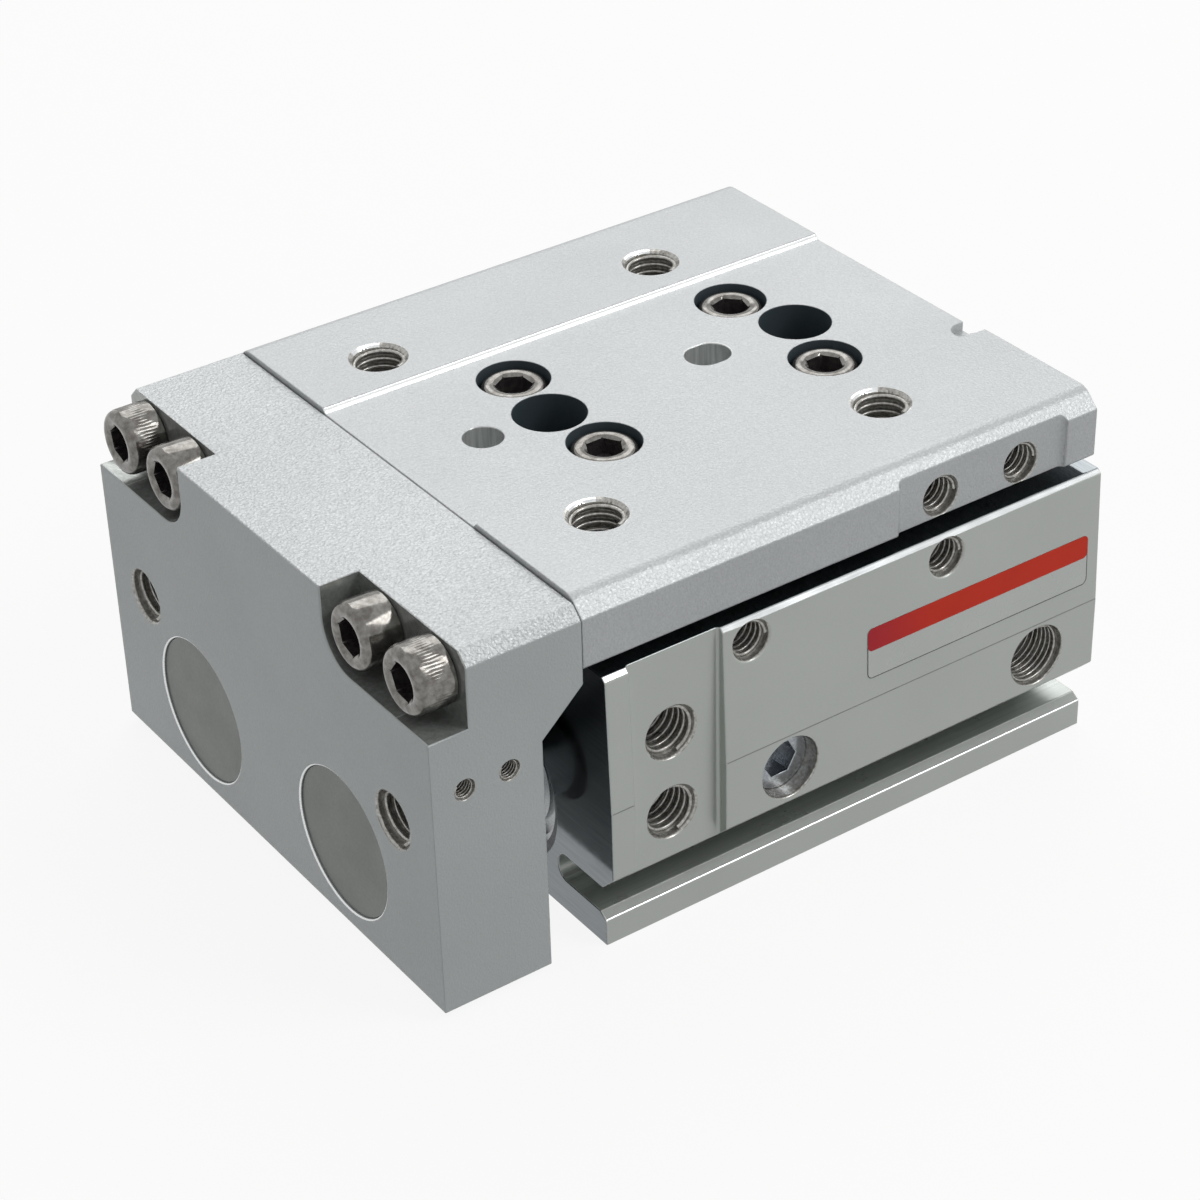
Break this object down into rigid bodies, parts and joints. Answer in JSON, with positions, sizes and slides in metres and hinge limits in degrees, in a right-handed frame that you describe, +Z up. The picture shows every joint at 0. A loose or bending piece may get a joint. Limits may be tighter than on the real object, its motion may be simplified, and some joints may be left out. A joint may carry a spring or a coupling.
{
  "type": "pneumatic slide table",
  "caption": "Pneumatic slide table: a flat table and end plate run out over twin air cylinders on a recirculating ball guide.",
  "frame": {"origin": "centre of the bounding box on the plane of the body's underside, with the table in", "axes": "+X from the end plate towards the rear of the body, +Y to the side opposite the seen ports, +Z up through the table; the table travels towards -X"},
  "size_m": [0.116, 0.094, 0.0585],
  "materials": {
    "body_aluminium": "clear anodised extrusion, fine satin",
    "table_aluminium": "clear anodised, fine blasted grain",
    "plate_aluminium": "clear anodised, fine blasted grain",
    "disc_aluminium": "dull grey, fine turned",
    "cover_aluminium": "turned, clear anodised",
    "bush_bronze": "sintered bronze, oil film",
    "seal_rubber": "smooth nitrile rubber",
    "bumper_plastic": "polyurethane, satin",
    "spring_steel": "phosphated spring steel",
    "plug_steel": "plated steel",
    "guide_steel": "ground hardened steel",
    "cap_plastic": "moulded, fine texture",
    "ball_steel": "polished bearing steel",
    "black_screw_steel": "black oxide",
    "screw_steel": "bright steel, knurled head",
    "pin_steel": "ground steel",
    "rod_chrome": "hard chrome, ground",
    "magnet_plastic": "plastic-bonded ferrite",
    "wear_plastic": "filled PTFE",
    "nut_steel": "zinc plated steel"
  },
  "bodies": {
    "body": {"body": "body_aluminium", "rod_cover_left": "cover_aluminium", "rod_cover_right": "cover_aluminium", "rod_bush_left": "bush_bronze", "rod_bush_right": "bush_bronze", "rod_seal_left": "seal_rubber", "rod_seal_right": "seal_rubber", "cover_o_ring_left": "seal_rubber", "cover_o_ring_right": "seal_rubber", "rod_bumper_left": "bumper_plastic", "rod_bumper_right": "bumper_plastic", "head_bumper_left": "bumper_plastic", "head_bumper_right": "bumper_plastic", "head_cover_left": "cover_aluminium", "head_cover_right": "cover_aluminium", "head_o_ring_left": "seal_rubber", "head_o_ring_right": "seal_rubber", "front_retaining_rings": "spring_steel", "rear_retaining_rings": "spring_steel", "port_plugs": "plug_steel", "carriage": "guide_steel", "carriage_cap_front": "cap_plastic", "carriage_cap_rear": "cap_plastic", "carriage_seal_front": "seal_rubber", "carriage_seal_rear": "seal_rubber", "ball_row_left": "ball_steel", "ball_row_right": "ball_steel", "carriage_screws": "black_screw_steel", "cap_screws": "black_screw_steel"},
    "table": {"table": "table_aluminium", "end_plate": "plate_aluminium", "guide_rail": "guide_steel", "rail_screws": "screw_steel", "end_plate_screws": "screw_steel", "end_plate_pins": "pin_steel", "piston_rod_left": "rod_chrome", "piston_rod_right": "rod_chrome", "piston_left": "cover_aluminium", "piston_right": "cover_aluminium", "piston_seal_left": "seal_rubber", "piston_seal_right": "seal_rubber", "piston_magnet_left": "magnet_plastic", "piston_magnet_right": "magnet_plastic", "wear_ring_left": "wear_plastic", "wear_ring_right": "wear_plastic", "piston_nut_left": "nut_steel", "piston_nut_right": "nut_steel", "rod_washer_left": "nut_steel", "rod_washer_right": "nut_steel", "rod_nut_left": "nut_steel", "rod_nut_right": "nut_steel", "float_ring_left": "seal_rubber", "float_ring_right": "seal_rubber", "rod_end_cover_left": "disc_aluminium", "rod_end_cover_right": "disc_aluminium"}
  },
  "joints": [
    {"name": "table_slide", "type": "slide", "parent": "body", "child": "table", "axis": [-1, 0, 0], "range_m": [0, 0.03]}
  ]
}
